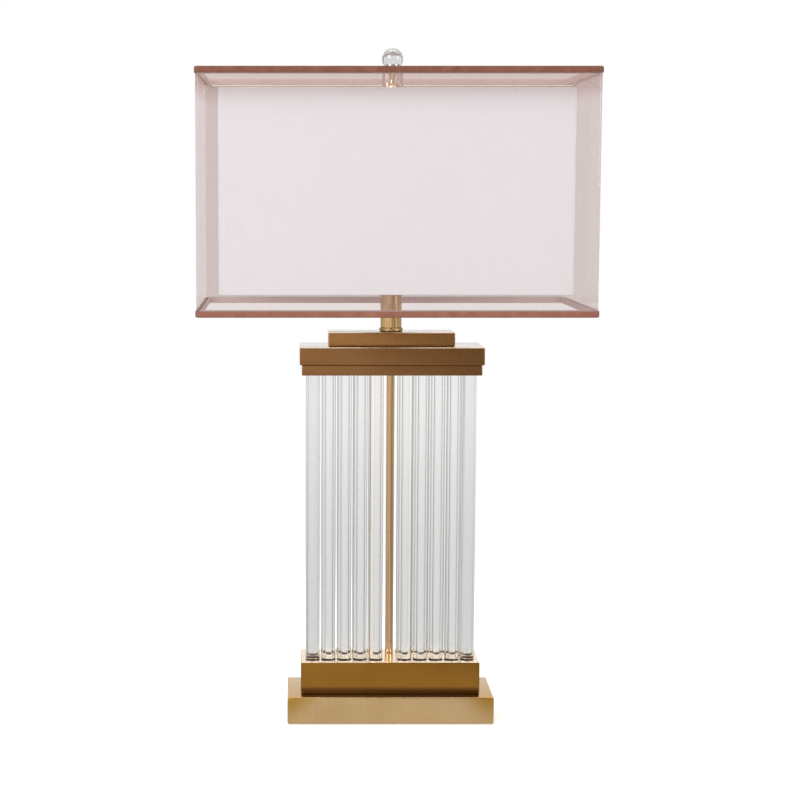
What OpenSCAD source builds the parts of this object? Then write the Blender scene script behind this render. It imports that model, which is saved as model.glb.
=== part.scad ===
// Table lamp with a column of clear glass rods between two stepped brass plinths,
// a brass pipe up the middle, and a rectangular double shade held by a harp.
// Millimetres, +Z up, origin at the centre of the underside of the felt pad.

/* [Glass rods] */
// Diameter of one rod
rod_d = 14.5; // [10:0.1:18]
// Cut length of one rod, both seated ends included
rod_len = 305; // [200:1:400]
// Rods in each half of the front row and of the back row
rods_per_half = 5; // [3:1:5]
// Clear gap between neighbouring rods in a row
rod_gap = 1.9; // [1:0.1:5]
// Clear gap between the front row, the end rods and the back row
row_gap = 1.7; // [1:0.1:5]
// Clear gap each side of the pipe to the two middle rods
pipe_gap = 3.5; // [1.5:0.1:8]
// Depth of the blind seat at each end of a rod
seat_depth = 3; // [2:0.1:4]
// Thickness of the soft disc at the bottom of each seat
pad_h = 0.5; // [0.3:0.1:1.5]

/* [Plinths] */
// Thickness of the felt under the base
felt_h = 1.2; // [0.8:0.1:3]
// How far the felt stays inside the edge of the lower plinth
felt_inset = 0.6; // [0.3:0.1:1]
// Height of the lower plinth shell
lower_h = 27.8; // [24:0.1:45]
// How far the lower plinth stands out beyond the upper one at each end
lower_step_x = 14; // [4:0.5:30]
// How far the lower plinth stands out beyond the upper one at front and back
lower_step_y = 12; // [10:0.5:30]
// Height of the upper plinth
upper_h = 34; // [15:0.5:60]
// Thickness of the upper plinth's top, which holds the rod seats
upper_top = 6; // [5:0.1:10]
// Margin from the end rods to the ends of the upper plinth
margin_x = 5.15; // [3:0.05:15]
// Margin from the rods to the front and back of the upper plinth
margin_y = 5.55; // [3:0.05:15]
// Wall of both plinth shells
shell_wall = 1.5; // [1:0.1:3]
// Radius of the upright edges of plinths and cap
edge_r = 1.5; // [0.5:0.1:3]
// Length of the iron weight inside the lower plinth
weight_w = 150; // [80:1:180]
// Gap between the iron weight and the plinth's front and back walls
weight_gap = 4.5; // [3.5:0.1:12]

/* [Cap] */
// How far the rod holder's ends are set in from the upper plinth's ends
holder_in_x = 0.75; // [0:0.05:2]
// How far the rod holder stands out beyond the upper plinth at front and back
holder_out_y = 1; // [0:0.1:6]
// Height of the rod holder
holder_h = 10.6; // [8:0.1:20]
// Overhang of the cap block beyond the rod holder at each end
cap_over_x = 2.25; // [0.5:0.05:10]
// Overhang of the cap block beyond the rod holder at front and back
cap_over_y = 2; // [0.5:0.1:10]
// Height of the cap block
cap_h = 18.3; // [12:0.1:30]
// Width of the cap plate
plate_w = 130; // [60:1:150]
// Depth of the cap plate
plate_d = 40; // [34:1:50]
// Height of the cap plate
plate_h = 14.5; // [8:0.1:25]
// Least wall left around the hollows in the cap castings
cast_wall = 5; // [3:0.1:8]

/* [Pipe and neck] */
// Outer diameter of the threaded brass pipe
pipe_d = 8.5; // [8:0.1:12]
// Bore of the pipe, which the cord runs through
pipe_bore = 6.3; // [5:0.1:6.6]
// Length of pipe below the clamping nut
pipe_tail = 1; // [0.5:0.1:3]
// Diameter of the ring under the neck
neck_ring_d = 24.9; // [23.5:0.1:34]
// Height of the ring under the neck
neck_ring_h = 3.9; // [2:0.1:8]
// Diameter of the neck
neck_d = 22.2; // [18:0.1:23]
// Height of the neck
neck_h = 43.7; // [30:0.1:90]
// Wall of the neck
neck_wall = 1.2; // [0.8:0.1:2]
// Height of the clamping nut
nut_h = 5; // [4:0.1:8]
// Width across the flats of the clamping nut
nut_af = 14; // [13:0.5:18]
// Diameter of the washer
washer_d = 21; // [19:0.5:23]
// Thickness of the washer
washer_h = 1.2; // [0.8:0.1:2]

/* [Harp] */
// Height from the saddle's underside to the foot of the spool
harp_h = 200.9; // [190:0.1:260]
// Height of the turned spool between the harp's bow and the shade's hub
spool_h = 16.2; // [12:0.1:25]
// Diameter of the spool at both ends
spool_end_d = 10.4; // [9:0.1:14]
// Diameter of the spool at its waist
spool_waist_d = 5.8; // [5:0.1:8]
// Diameter of the harp wire
harp_wire = 4; // [3:0.1:5]
// Distance between the centres of the harp's legs
leg_span = 57; // [52:0.5:70]
// Widest distance between the centres of the harp's sides
bow_span = 100; // [90:1:130]
// Thickness of the saddle strap
saddle_t = 1.6; // [1.2:0.1:2.5]
// Width of the saddle strap
saddle_w = 12; // [10:0.5:16]
// Height of the shoulder that each ferrule rests on
shoulder_h = 12; // [8:0.5:16]
// Height of the tab that each leg stands on, above the shoulder
tab_h = 12.5; // [10:0.5:14]
// Length of a ferrule
ferrule_len = 24; // [20:0.5:28]
// Outer diameter of a ferrule
ferrule_d = 8.5; // [8:0.1:11]
// Travel of a ferrule up its leg
ferrule_travel = 16; // [12:0.5:18]
// Diameter of the stud that carries the shade
stud_d = 6.35; // [5:0.05:7]

/* [Socket and bulb] */
// Outer diameter of the socket shell
socket_d = 32.2; // [31:0.1:36]
// Height of the socket from its cap to its rim
socket_h = 54; // [52:0.5:66]
// Diameter of the bulb's screw cap
bulb_cap_d = 26; // [24:0.1:26.5]
// Diameter of the bulb
bulb_d = 60; // [45:0.5:64]
// Height of the bulb's glass, its seat in the screw cap included
bulb_h = 89.4; // [78:0.1:98]

/* [Shade] */
// Width of the sheer outer shade
shade_w = 392; // [320:1:440]
// Depth of the sheer outer shade
shade_d = 232; // [200:1:280]
// Height of the shade over its trims
shade_h = 241.8; // [200:0.1:250]
// Thickness of the shade sheets
sheet_t = 0.8; // [0.5:0.1:1.2]
// Radius of the shade's upright corners
shade_r = 4; // [3:0.1:20]
// Diameter of the outer shade's ring wire
ring_wire = 3; // [2:0.1:4]
// Height of the folded trim tape on the outside
trim_h = 6.2; // [6:0.1:12]
// Height of the folded trim tape on the inside
trim_in_h = 7.2; // [6:0.1:12]
// Thickness of the trim tape
trim_t = 0.6; // [0.4:0.1:1]
// Distance from the outer shade in to the liner
liner_inset = 21.6; // [14:0.1:30]
// Height of the liner
liner_h = 201.5; // [170:0.5:210]
// Depth of the liner's top edge below the spider arms
liner_drop = 5; // [4:0.1:12]
// Diameter of the liner's ring wire
liner_wire = 2.5; // [2:0.1:3]
// Diameter of the stubs between the arms and the liner's ring
stub_d = 2; // [1.5:0.1:2.3]
// Diameter of the spider's arms
arm_wire = 2.8; // [2:0.1:2.9]
// Height of the shade's top ring above the spider's level arms
spider_rise = 11.1; // [8:0.1:25]
// Height of the spider's hub above its level arms
hub_rise = 16.2; // [12:0.1:25]
// Distance across the hub between the upright ends of two opposite arms
riser_span = 18.2; // [17:0.1:24]
// Diameter of the spider's hub
hub_d = 22; // [21:0.5:30]
// Thickness of the spider's hub
hub_t = 1.6; // [1.2:0.1:3]

/* [Finial] */
// Diameter of the glass ball
ball_d = 21.7; // [20:0.1:35]
// Height of the brass foot under the ball
finial_foot_h = 5; // [4.5:0.1:12]
// Diameter of the brass foot
finial_foot_d = 17; // [12:0.1:18.5]

/* [Cord inlet] */
// Bore of the cord bushing
cord_bore = 6.5; // [5:0.1:7]
// Height of the cord inlet above the underside
inlet_z = 9.4; // [8.5:0.1:12]

/* [Fits] */
// Gap all round a part that slips over the pipe or into its seat
slip = 0.2; // [0.1:0.05:0.3]
// Radial clearance of a part that turns or slides
running = 0.1; // [0.05:0.01:0.1]
// Gap under a piece that can be lifted off its seat
rest_gap = 0.2; // [0.1:0.05:0.3]

/* [Hidden] */
$fn = 64;
function rod_name(i) = str("glass_rod_", i < 9 ? "0" : "", i + 1);
rod_count = 4 * rods_per_half + 2;
ROD_NODES = [for (i = [0 : rod_count - 1]) rod_name(i)];

// Colours
brass = "#8a5f38";
pale_brass = "#b8976c";
bright_brass = "#d9ab62";
steel = "silver";
iron = "dimgray";
clear_glass = [0.9, 0.93, 0.92, 0.45];
rose = [0.78, 0.68, 0.67, 0.5];
tape = "#8b5b4a";
linen = "#ece4e2";
bakelite = "#1c1816";

// A little extra so that cuts pass right through a face
cut = 1;

// Rod field: middle pair either side of the pipe, then even steps outwards
rod_pitch = rod_d + rod_gap;
row_pitch = rod_d + row_gap;
first_rod_x = (pipe_d + rod_d) / 2 + pipe_gap;
end_rod_x = first_rod_x + (rods_per_half - 1) * rod_pitch;
row_x = [for (i = [0 : rods_per_half - 1]) first_rod_x + i * rod_pitch];
rod_spots = concat(
    [for (side = [-1, 1], i = [0 : rods_per_half - 1]) [side * row_x[i], -row_pitch]],
    [for (side = [-1, 1], i = [0 : rods_per_half - 1]) [side * row_x[i], row_pitch]],
    [[-end_rod_x, 0], [end_rod_x, 0]]);

// Outlines of the stack
upper_w = 2 * end_rod_x + rod_d + 2 * margin_x;
upper_d = 2 * row_pitch + rod_d + 2 * margin_y;
lower_w = upper_w + 2 * lower_step_x;
lower_d = upper_d + 2 * lower_step_y;
holder_w = upper_w - 2 * holder_in_x;
holder_d = upper_d + 2 * holder_out_y;
cap_w = holder_w + 2 * cap_over_x;
cap_d = holder_d + 2 * cap_over_y;

// Heights of the stack
lower_top = felt_h + lower_h;
upper_top_z = lower_top + upper_h;
rod_foot = upper_top_z - seat_depth + pad_h;
rod_head = rod_foot + rod_len;
holder_z = rod_head + pad_h - seat_depth;
cap_z = holder_z + holder_h;
plate_z = cap_z + cap_h;
neck_ring_z = plate_z + plate_h;
neck_z = neck_ring_z + neck_ring_h;
saddle_z = neck_z + neck_h;
socket_z = saddle_z + saddle_t;

// Pipe and the clamp at its foot
pipe_hole = pipe_d + 2 * slip;
nut_pocket_top = felt_h + lower_h - shell_wall - 14.5;
washer_z = nut_pocket_top - washer_h;
nut_z = washer_z - nut_h;
pipe_z = nut_z - pipe_tail;
pipe_in_socket = 8;
weight_d = lower_d - 2 * shell_wall - 2 * weight_gap;
cord_slot_w = 9;

// Neck spigot and closed top of the neck
spigot_h = 3;
spigot_r = neck_d / 2 - neck_wall - slip;
neck_top_t = 1.6;

// Harp
leg_x = leg_span / 2;
spool_z = saddle_z + harp_h;
stud_z = spool_z + spool_h;
shoulder_z = saddle_z + shoulder_h;
tab_top = shoulder_z + tab_h;
leg_z = tab_top + rest_gap;
ferrule_z = shoulder_z + rest_gap;
bracket_r = 6.5;
bracket_h = 2 * harp_wire - 2;
top_wire_z = spool_z - bracket_h / 2;
harp_bend = 60;
top_bend = 34;
// The legs stay straight as far as the ferrules travel, and past the first bend's tangent
leg_bend_z = ferrule_z + ferrule_len + ferrule_travel + 20;
flare_h = 34;
top_fall = 40;
top_half = 30;
half_harp = [[leg_x, leg_z], [leg_x, leg_bend_z], [bow_span / 2, leg_bend_z + flare_h],
    [bow_span / 2, top_wire_z - top_fall], [top_half, top_wire_z]];
harp_line = concat([for (p = half_harp) [-p[0], p[1]]], [for (i = [4 : -1 : 0]) half_harp[i]]);
half_bends = [0, harp_bend, harp_bend, harp_bend, top_bend];
harp_bends = concat(half_bends, [for (i = [4 : -1 : 0]) half_bends[i]]);
harp_sides = 16;
bend_steps = 5;
thread_h = 3.6;
stud_h = hub_t + 2 * rest_gap + thread_h;

// Socket, measured up from the saddle
socket_r = socket_d / 2;
socket_wall = 0.6;
cup_r = socket_r + running + 0.8;
cup_h = 16;
shell_foot = 12;
insulator_t = 0.5;
insulator_r = socket_r - socket_wall - running;
body_r = insulator_r - insulator_t - slip;
body_z = shell_foot + 1;
body_h = 14;
screw_z = body_z + body_h;
screw_in_r = bulb_cap_d / 2 + running;
screw_t = 0.5;
contact_h = 1.5;
cap_foot = screw_z + contact_h + rest_gap;
bulb_cap_top = socket_h - 1;
key_z = body_z + body_h / 2;
key_shaft_r = 2;
key_depth = 6;
key_out = 6;

// Bulb
bulb_r = bulb_d / 2;
bulb_cap_t = 0.6;
bulb_neck_r = bulb_cap_d / 2 - bulb_cap_t - slip;
bulb_seat = 3;
bulb_neck_h = 12;
glass_t = 0.7;

// Shade levels
hub_z = stud_z + rest_gap + hub_t / 2;
arm_z = hub_z - hub_rise;
ring_top_z = arm_z + spider_rise;
edge_over_ring = 0.9;
sheer_top = ring_top_z + ring_wire / 2 + edge_over_ring;
shade_top = sheer_top + trim_t;
shade_bottom = shade_top - shade_h;
sheer_bottom = shade_bottom + trim_t;
ring_bottom_z = sheer_bottom + edge_over_ring + ring_wire / 2;
lap = 0.1;
ring_line_w = shade_w - 2 * sheet_t - 2 * lap - ring_wire;
ring_line_d = shade_d - 2 * sheet_t - 2 * lap - ring_wire;
trim_room = sheet_t + ring_wire + 2 * lap;
tape_gap = 0.05;
arm_bend = 5;
arm_bend_in = 10;
riser_bend = 3;

// Liner levels
liner_w = shade_w - 2 * liner_inset;
liner_d = shade_d - 2 * liner_inset;
liner_r = max(shade_r - 1, 2);
liner_top = arm_z - liner_drop;
liner_bottom = liner_top - liner_h;
liner_line_w = liner_w - 2 * sheet_t - 2 * lap - liner_wire;
liner_line_d = liner_d - 2 * sheet_t - 2 * lap - liner_wire;
liner_ring_in = 0.2;
liner_ring_z = liner_top - liner_ring_in - liner_wire / 2;
liner_low_z = liner_bottom + liner_ring_in + liner_wire / 2;

// Finial
finial_z = hub_z + hub_t / 2 + rest_gap;
ball_flat_r = finial_foot_d / 2 + 0.7;
ball_z = finial_z + finial_foot_h + sqrt(pow(ball_d / 2, 2) - pow(ball_flat_r, 2));

// Cord bushing
bush_wall_r = cord_bore / 2 + 1.4;
bush_flange_r = bush_wall_r + 1.8;
bush_flange_t = 1.6;
bush_collar_t = 2.4;

// A rectangle with round corners
module round_rect(w, d, r) {
    square([w - 2 * r, d], center = true);
    square([w, d - 2 * r], center = true);
    for (x = [-1, 1], y = [-1, 1]) translate([x * (w / 2 - r), y * (d / 2 - r)]) circle(r);
}

// A block with round upright edges, standing on z
module block(w, d, z, h, r = edge_r) {
    translate([0, 0, z]) linear_extrude(h) round_rect(w, d, r);
}

// An upright round bar or hole
module post(r, z, h) {
    translate([0, 0, z]) cylinder(r = r, h = h);
}

// An upright tube
module tube(outer_r, inner_r, z, h) {
    difference() {
        post(outer_r, z, h);
        post(inner_r, z - cut, h + 2 * cut);
    }
}

function heading(from, to) = atan2(to[1] - from[1], to[0] - from[0]);
// Turn at point i of a line, between -180 and 180 degrees
function turn(p, i) = let (a = heading(p[i], p[i + 1]) - heading(p[i - 1], p[i]))
    a > 180 ? a - 360 : a < -180 ? a + 360 : a;
function is_end(p, i) = i == 0 || i == len(p) - 1;
// Length that the bend at point i takes from each side of it
function taken(p, b, i) = is_end(p, i) ? 0 : b[i] * tan(abs(turn(p, i)) / 2);
function toward(from, to, by) = from + (to - from) * by / norm(to - from);

// Points and headings along a bent line, with a few steps round each bend
function line_steps(p, b) = [for (i = [0 : len(p) - 1])
    let (before = is_end(p, i) ? 0 : heading(p[i - 1], p[i]), a = is_end(p, i) ? 0 : turn(p, i),
        side = a > 0 ? 1 : -1, start = is_end(p, i) ? p[i] : toward(p[i], p[i - 1], taken(p, b, i)),
        centre = start + side * b[i] * [-sin(before), cos(before)])
    each is_end(p, i)
        ? [[p[i][0], p[i][1], i == 0 ? heading(p[0], p[1]) : heading(p[i - 1], p[i])]]
        : [for (k = [0 : bend_steps]) let (h = before + a * k / bend_steps,
            q = centre + side * b[i] * [sin(h), -cos(h)]) [q[0], q[1], h]]];

// A wire of r swept along such a line in the XZ plane
module swept_wire(p, b, r) {
    steps = line_steps(p, b);
    n = harp_sides;
    last = (len(steps) - 1) * n;
    points = [for (s = steps, k = [0 : n - 1]) let (t = 360 * k / n)
        [s[0] - r * cos(t) * sin(s[2]), r * sin(t), s[1] + r * cos(t) * cos(s[2])]];
    sides = [for (j = [0 : len(steps) - 2], k = [0 : n - 1]) let (m = (k + 1) % n)
        [j * n + k, j * n + m, (j + 1) * n + m, (j + 1) * n + k]];
    polyhedron(points, concat(sides, [[for (k = [n - 1 : -1 : 0]) k], [for (k = [0 : n - 1]) last + k]]));
}

// A closed wire ring on a round-cornered rectangle, r1 being the corner radius of its line
module ring_frame(w, d, r1, z, r) {
    translate([0, 0, z]) {
        for (s = [-1, 1]) {
            translate([-(w / 2 - r1), s * d / 2, 0]) rotate([0, 90, 0]) cylinder(r = r, h = w - 2 * r1);
            translate([s * w / 2, d / 2 - r1, 0]) rotate([90, 0, 0]) cylinder(r = r, h = d - 2 * r1);
        }
        for (q = [0 : 3]) {
            sx = q == 0 || q == 3 ? 1 : -1;
            sy = q < 2 ? 1 : -1;
            translate([sx * (w / 2 - r1), sy * (d / 2 - r1), 0]) rotate(90 * q)
                rotate_extrude(angle = 90) translate([r1, 0]) circle(r, $fn = 32);
        }
    }
}

// A four-walled sleeve of sheet
module sleeve(w, d, r, t, z, h) {
    difference() {
        block(w, d, z, h, r);
        block(w - 2 * t, d - 2 * t, z - cut, h + 2 * cut, max(r - t, 0.5));
    }
}

// Felt that the lamp stands on
module felt_pad() {
    color("darkgreen")
        block(lower_w - 2 * felt_inset, lower_d - 2 * felt_inset, 0, felt_h, edge_r);
}

// Cast-iron weight, with a pocket for the nut and a slot for the cord
module base_weight() {
    color(iron) difference() {
        block(weight_w, weight_d, felt_h, lower_h - shell_wall, edge_r);
        post(pipe_hole / 2, 0, lower_top);
        post(washer_d / 2 + 0.8, felt_h - cut, nut_pocket_top - felt_h + cut);
        translate([-cord_slot_w / 2, 0, felt_h - cut])
            cube([cord_slot_w, weight_d / 2 + cut, nut_pocket_top - felt_h + cut]);
    }
}

// Lower plinth: a shell open below, drilled for the pipe and for the cord bushing
module lower_plinth() {
    color(pale_brass) difference() {
        block(lower_w, lower_d, felt_h, lower_h);
        block(lower_w - 2 * shell_wall, lower_d - 2 * shell_wall, felt_h - cut,
            lower_h - shell_wall + cut, edge_r);
        post(pipe_hole / 2, 0, lower_top + cut);
        translate([0, lower_d / 2 + cut, inlet_z]) rotate([90, 0, 0])
            cylinder(r = bush_wall_r + running, h = shell_wall + 2 * cut);
    }
}

// Upper plinth: a shell open below, with a thick top that holds the rod seats
module upper_plinth() {
    color(brass) difference() {
        block(upper_w, upper_d, lower_top, upper_h);
        block(upper_w - 2 * shell_wall, upper_d - 2 * shell_wall, lower_top - cut,
            upper_h - upper_top + cut, edge_r);
        post(pipe_hole / 2, lower_top, upper_h + cut);
        for (p = rod_spots) translate(p) post(rod_d / 2 + slip, upper_top_z - seat_depth, seat_depth + cut);
    }
}

// Grommet in the back wall of the lower plinth: flange outside, collar inside
module cord_bushing() {
    wall_room = shell_wall + 2 * running;
    outer_y = lower_d / 2 + running;
    color(bakelite) difference() {
        translate([0, outer_y, inlet_z]) rotate([90, 0, 0]) {
            translate([0, 0, -bush_flange_t]) cylinder(r = bush_flange_r, h = bush_flange_t);
            cylinder(r = bush_wall_r, h = wall_room);
            translate([0, 0, wall_room]) cylinder(r = bush_wall_r + 0.7, h = bush_collar_t);
        }
        translate([0, lower_d, inlet_z]) rotate([90, 0, 0]) cylinder(r = cord_bore / 2, h = lower_d);
    }
}

// Hexagon nut that draws the whole stack together
module pipe_nut() {
    color(steel) difference() {
        translate([0, 0, nut_z]) cylinder(r = nut_af / sqrt(3), h = nut_h, $fn = 6);
        post(pipe_d / 2 + running, 0, lower_top);
    }
}

module pipe_washer() {
    color(steel) tube(washer_d / 2, pipe_hole / 2, washer_z, washer_h);
}

// Brass pipe from the nut in the base to the socket
module lamp_pipe() {
    color(bright_brass) tube(pipe_d / 2, pipe_bore / 2, pipe_z, socket_z + pipe_in_socket - pipe_z);
}

// Soft discs in the seats at both ends of every rod
module rod_pads() {
    color("gainsboro") for (p = rod_spots, z = [rod_foot - pad_h, rod_head])
        translate(p) post(rod_d / 2 - slip, z, pad_h);
}

module glass_rod(i) {
    color(clear_glass) translate(rod_spots[i]) post(rod_d / 2, rod_foot, rod_len);
}

// Plate over the rods, with their upper seats
module rod_holder() {
    color(brass) difference() {
        block(holder_w, holder_d, holder_z, holder_h);
        post(pipe_hole / 2, holder_z - cut, holder_h + 2 * cut);
        for (p = rod_spots) translate(p) post(rod_d / 2 + slip, holder_z - cut, seat_depth + cut);
    }
}

// A casting with a hollow underneath that the piece below closes
module cap_casting(w, d, z, h, below_w, below_d) {
    difference() {
        block(w, d, z, h);
        block(min(w, below_w) - 2 * cast_wall - 4, min(d, below_d) - 2 * cast_wall - 4, z - cut,
            h - cast_wall + cut);
        post(pipe_hole / 2, z - cut, h + 2 * cut);
    }
}

module cap_block() {
    color(brass) cap_casting(cap_w, cap_d, cap_z, cap_h, holder_w, holder_d);
}

module cap_plate() {
    color(brass) cap_casting(plate_w, plate_d, plate_z, plate_h, cap_w, cap_d);
}

// Ring under the neck, with a spigot that centres the neck
module neck_ring() {
    soft = neck_ring_h / 4;
    r = neck_ring_d / 2;
    color(bright_brass) translate([0, 0, neck_ring_z]) rotate_extrude() difference() {
        union() {
            polygon([[0, 0], [r - soft, 0], [r, soft], [r, neck_ring_h - soft],
                [r - soft, neck_ring_h], [0, neck_ring_h]]);
            square([spigot_r, neck_ring_h + spigot_h]);
        }
        translate([0, -cut]) square([pipe_hole / 2, neck_ring_h + spigot_h + 2 * cut]);
    }
}

// Neck: a tube closed at the top, clamped under the harp saddle
module neck_tube() {
    color(bright_brass) difference() {
        post(neck_d / 2, neck_z, neck_h);
        post(neck_d / 2 - neck_wall, neck_z - cut, neck_h - neck_top_t + cut);
        post(pipe_hole / 2, neck_z, neck_h + cut);
    }
}

// Steel strap under the socket: a flat middle, two sloping arms and two narrow tabs
module harp_saddle() {
    tab_w = 6;
    half_t = saddle_t / 2;
    foot_x = leg_x - 12;
    color(steel) {
        difference() {
            translate([0, saddle_w / 2, saddle_z]) rotate([90, 0, 0]) linear_extrude(saddle_w) polygon([
                [-foot_x, 0], [foot_x, 0], [leg_x + half_t, shoulder_h - 4], [leg_x + half_t, shoulder_h],
                [leg_x - half_t, shoulder_h], [leg_x - half_t, shoulder_h - 3], [foot_x - 1, saddle_t],
                [1 - foot_x, saddle_t], [half_t - leg_x, shoulder_h - 3], [half_t - leg_x, shoulder_h],
                [-leg_x - half_t, shoulder_h], [-leg_x - half_t, shoulder_h - 4]]);
            post(pipe_hole / 2, saddle_z - cut, saddle_t + 2 * cut);
        }
        for (s = [-1, 1]) translate([s * leg_x - half_t, -tab_w / 2, shoulder_z])
            cube([saddle_t, tab_w, tab_h]);
    }
}

// Harp: one wire bow with a bracket, a waisted spool and a threaded stud at the top
module harp() {
    end_r = spool_end_d / 2;
    waist_r = spool_waist_d / 2;
    lip = 1.6;
    mid = spool_h / 2;
    color(bright_brass) {
        swept_wire(harp_line, harp_bends, harp_wire / 2);
        post(bracket_r, spool_z - bracket_h, bracket_h);
        translate([0, 0, spool_z]) rotate_extrude() polygon([[0, -cut], [end_r, -cut], [end_r, lip],
            [waist_r, mid - 1], [waist_r, mid + 1], [end_r, spool_h - lip], [end_r, spool_h],
            [0, spool_h]]);
        post(stud_d / 2, stud_z - cut, stud_h + cut);
    }
}

// Ferrule: a sleeve that drops over the joint of leg and saddle
module harp_ferrule(s) {
    lip = 2.5;
    lip_r = harp_wire / 2 + running;
    bore_r = ferrule_d / 2 - 0.85;
    color(bright_brass) translate([s * leg_x, 0, 0]) difference() {
        post(ferrule_d / 2, ferrule_z, ferrule_len);
        post(bore_r, ferrule_z - cut, ferrule_len - lip + cut);
        post(lip_r, ferrule_z, ferrule_len + cut);
    }
}

// Lower cup of the socket, screwed on to the pipe
module socket_cap() {
    hub_r = pipe_hole / 2 + 2.2;
    wall = cup_r - socket_r - running;
    color(bright_brass) translate([0, 0, socket_z]) rotate_extrude() {
        polygon([[pipe_hole / 2, 0], [hub_r, 0], [cup_r, 9], [cup_r, cup_h], [cup_r - wall, cup_h],
            [cup_r - wall, 9.4], [hub_r + 0.2, wall], [pipe_hole / 2, wall]]);
        translate([pipe_hole / 2, 0]) square([2.2, 9]);
    }
}

// Brass shell of the socket, with a rolled rim and a hole for the switch key
module socket_shell() {
    color(bright_brass) translate([0, 0, socket_z]) {
        difference() {
            tube(socket_r, socket_r - socket_wall, shell_foot, socket_h - shell_foot);
            translate([0, 0, key_z]) rotate([90, 0, 0]) cylinder(r = key_shaft_r + 0.6, h = socket_d);
        }
        translate([0, 0, socket_h]) rotate_extrude() translate([socket_r - socket_wall / 2, 0])
            circle(0.7, $fn = 24);
    }
}

// Fibre sleeve inside the shell
module socket_insulator() {
    color("#5b3a24") translate([0, 0, socket_z]) difference() {
        tube(insulator_r, insulator_r - insulator_t, body_z, socket_h - 2 - body_z);
        translate([0, 0, key_z]) rotate([90, 0, 0]) cylinder(r = key_shaft_r + 0.6, h = socket_d);
    }
}

// Switch body, which carries the screw shell, the contact and the key
module socket_body() {
    color(bakelite) translate([0, 0, socket_z]) difference() {
        post(body_r, body_z, body_h);
        translate([0, -body_r + key_depth, key_z]) rotate([90, 0, 0])
            cylinder(r = key_shaft_r + running, h = key_depth + cut);
    }
}

module socket_screw_shell() {
    color(steel) translate([0, 0, socket_z])
        tube(screw_in_r + screw_t, screw_in_r, screw_z, bulb_cap_top - 2 - screw_z);
}

module socket_contact() {
    color(bright_brass) post(4.5, socket_z + screw_z, contact_h);
}

// Turn key of the switch: a shaft with a flat grip
module switch_key() {
    grip_w = 14;
    grip_t = 3.4;
    grip_h = 9;
    shaft_in = body_r - key_depth + rest_gap;
    shaft_out = socket_r + key_out;
    color(bakelite) translate([0, 0, socket_z + key_z]) {
        translate([0, -shaft_in, 0]) rotate([90, 0, 0]) cylinder(r = key_shaft_r, h = shaft_out - shaft_in);
        translate([0, 2 - shaft_out, 0]) rotate([90, 0, 0]) cylinder(r = 3.6, h = 3);
        translate([-grip_w / 2, -shaft_out - grip_h, -grip_t / 2]) cube([grip_w, grip_h, grip_t]);
    }
}

// Screw cap of the bulb: a thin cup with a contact tip
module bulb_cap() {
    r = bulb_cap_d / 2;
    color(steel) translate([0, 0, socket_z]) rotate_extrude() polygon([[0, cap_foot], [4.6, cap_foot],
        [4.6, cap_foot + 0.6], [r, cap_foot + 3], [r, bulb_cap_top], [r - bulb_cap_t, bulb_cap_top],
        [r - bulb_cap_t, cap_foot + 3.4], [4.4, cap_foot + 1.4], [0, cap_foot + 1.4]]);
}

// Solid of revolution of the bulb, drawn in by t all over
module bulb_form(t) {
    r = bulb_r - t;
    neck_r = bulb_neck_r - t;
    centre = bulb_h - bulb_r;
    rise = centre - bulb_neck_h;
    lean = atan2(rise, neck_r) - acos(r / norm([rise, neck_r]));
    foot = t > 0 ? cut : 0;
    post(neck_r, -foot, bulb_neck_h + foot);
    translate([0, 0, bulb_neck_h]) cylinder(r1 = neck_r, r2 = r * cos(lean), h = rise - r * sin(lean));
    translate([0, 0, centre]) sphere(r);
}

module bulb_glass() {
    color(clear_glass) translate([0, 0, socket_z + bulb_cap_top - bulb_seat]) difference() {
        bulb_form(0);
        bulb_form(glass_t);
    }
}

// One arm of the spider: down from the hub, level, then up to the outer ring
module arm(reach) {
    line = [[riser_span / 2, hub_rise], [riser_span / 2, 0], [reach - arm_bend_in, 0],
        [reach, spider_rise]];
    swept_wire(line, [0, riser_bend, arm_bend, 0], arm_wire / 2);
}

module each_arm() {
    for (a = [0, 180]) rotate(a) arm(ring_line_w / 2);
    for (a = [90, 270]) rotate(a) arm(ring_line_d / 2);
}

// The line of a ring wire just inside a sleeve; r is the sleeve's corner radius
module inner_ring(w, d, r, wire, z) {
    inset = sheet_t + lap + wire / 2;
    ring_frame(w - 2 * inset, d - 2 * inset, max(r - inset, wire / 2 + 0.05), z, wire / 2);
}

// Short stubs that hang the liner's top ring from the four arms
module liner_stubs() {
    for (p = [[liner_line_w / 2, 0], [-liner_line_w / 2, 0], [0, liner_line_d / 2], [0, -liner_line_d / 2]])
        translate(p) post(stub_d / 2, liner_ring_z, arm_z - liner_ring_z);
}

// Spider: four arms that rise to a hub, which drops over the harp's stud
module shade_spider() {
    color(pale_brass) difference() {
        union() {
            liner_stubs();
            translate([0, 0, arm_z]) each_arm();
            post(hub_d / 2, hub_z - hub_t / 2, hub_t);
        }
        post(stud_d / 2 + running, hub_z - hub_t, 2 * hub_t);
    }
}

module shade_ring_top() {
    color(steel) inner_ring(shade_w, shade_d, shade_r, ring_wire, ring_top_z);
}

module liner_ring_top() {
    color(steel) inner_ring(liner_w, liner_d, liner_r, liner_wire, liner_ring_z);
}

module shade_ring_bottom() {
    color(steel) inner_ring(shade_w, shade_d, shade_r, ring_wire, ring_bottom_z);
}

module liner_ring_bottom() {
    color(steel) inner_ring(liner_w, liner_d, liner_r, liner_wire, liner_low_z);
}

// Sheer outer shade: a stiff clear sleeve
module shade_sheer() {
    color(rose) sleeve(shade_w, shade_d, shade_r, sheet_t, sheer_bottom, sheer_top - sheer_bottom);
}

// Opaque inner shade
module liner_sheet() {
    color(linen) sleeve(liner_w, liner_d, liner_r, sheet_t, liner_bottom, liner_h);
}

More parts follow.
